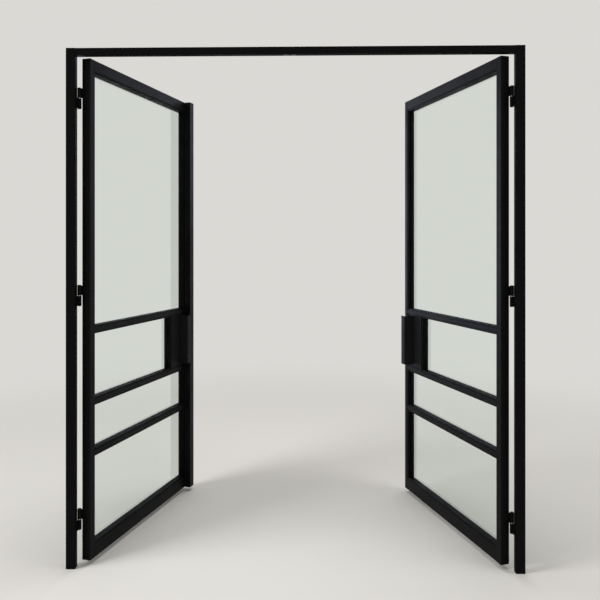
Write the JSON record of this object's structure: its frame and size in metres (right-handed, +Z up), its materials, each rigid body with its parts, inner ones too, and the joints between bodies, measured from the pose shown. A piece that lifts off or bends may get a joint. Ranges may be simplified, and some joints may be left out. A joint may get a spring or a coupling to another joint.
{
  "type": "double glazed doors in a frame",
  "caption": "Pair of slim steel framed glass doors standing open in a tube frame, with barrel hinges, lock boxes, folded plate pulls and a cover strip on one leaf.",
  "frame": {"origin": "middle of the opening's width, on the floor, at half the depth of the fixed frame", "axes": "+X to the right seen from the side with the pulls, +Y away from that side, the way the leaves open, +Z up"},
  "size_m": [2.138, 1.0198, 2.44],
  "materials": {
    "frame_paint": "satin black powder coat",
    "leaf_paint": "satin black powder coat",
    "bead_paint": "satin black powder coat",
    "lock_paint": "satin black powder coat",
    "glass": "clear float glass, polished",
    "seal_rubber": "matt",
    "block_plastic": "matt",
    "pin_steel": "ground bright steel",
    "plate_steel": "brushed",
    "screw_steel": "zinc plated",
    "spring_steel": "drawn spring wire"
  },
  "bodies": {
    "frame": {"bolt_keeper": "plate_steel", "head": "frame_paint", "hinge_pins": "pin_steel", "hinge_washers": "pin_steel", "jamb_end_plates": "frame_paint", "jamb_knuckles": "frame_paint", "keeper_screws": "screw_steel", "left_jamb": "frame_paint", "right_jamb": "frame_paint"},
    "left_leaf": {"astragal": "leaf_paint", "astragal_caps": "leaf_paint", "astragal_seal": "seal_rubber", "flush_bolt_guides": "plate_steel", "left_band_pane": "glass", "left_bottom_pane": "glass", "left_bottom_rail": "leaf_paint", "left_cover_screws": "screw_steel", "left_glass_stops": "bead_paint", "left_glazing_bars": "leaf_paint", "left_glazing_beads": "bead_paint", "left_glazing_tape": "seal_rubber", "left_hinge_stile": "leaf_paint", "left_leaf_knuckles": "leaf_paint", "left_lock_case": "lock_paint", "left_lock_cover": "lock_paint", "left_lock_pane": "glass", "left_meeting_stile": "leaf_paint", "left_pull": "lock_paint", "left_pull_fasteners": "screw_steel", "left_setting_blocks": "block_plastic", "left_stile_caps": "leaf_paint", "left_top_pane": "glass", "left_top_rail": "leaf_paint", "strike_plate": "plate_steel"},
    "right_leaf": {"latch_body": "plate_steel", "latch_plate": "plate_steel", "latch_spring": "spring_steel", "right_band_pane": "glass", "right_bottom_pane": "glass", "right_bottom_rail": "leaf_paint", "right_cover_screws": "screw_steel", "right_glass_stops": "bead_paint", "right_glazing_bars": "leaf_paint", "right_glazing_beads": "bead_paint", "right_glazing_tape": "seal_rubber", "right_hinge_stile": "leaf_paint", "right_leaf_knuckles": "leaf_paint", "right_lock_case": "lock_paint", "right_lock_cover": "lock_paint", "right_lock_pane": "glass", "right_meeting_stile": "leaf_paint", "right_pull": "lock_paint", "right_pull_fasteners": "screw_steel", "right_setting_blocks": "block_plastic", "right_stile_caps": "leaf_paint", "right_top_pane": "glass", "right_top_rail": "leaf_paint"},
    "flush_bolt": {"flush_bolt": "pin_steel"},
    "latch_bolt": {"latch_bolt": "pin_steel"}
  },
  "joints": [
    {"name": "left_leaf_swing", "type": "hinge", "parent": "frame", "child": "left_leaf", "pos_m": [-1.019, 0.0265, 0], "axis": [0, 0, 1], "range_deg": [-74.5, 35.5]},
    {"name": "right_leaf_swing", "type": "hinge", "parent": "frame", "child": "right_leaf", "pos_m": [1.019, 0.0265, 0], "axis": [0, 0, -1], "range_deg": [-72.2, 37.8]},
    {"name": "flush_bolt_slide", "type": "slide", "parent": "left_leaf", "child": "flush_bolt", "axis": [0, 0, 1], "range_m": [0, 0.016]},
    {"name": "latch_slide", "type": "slide", "parent": "right_leaf", "child": "latch_bolt", "axis": [0.3057, -0.9521, 0], "range_m": [0, 0.009], "stiffness_N_per_m": 2000, "springref_m": -0.003, "deforming": ["latch_spring"]}
  ]
}
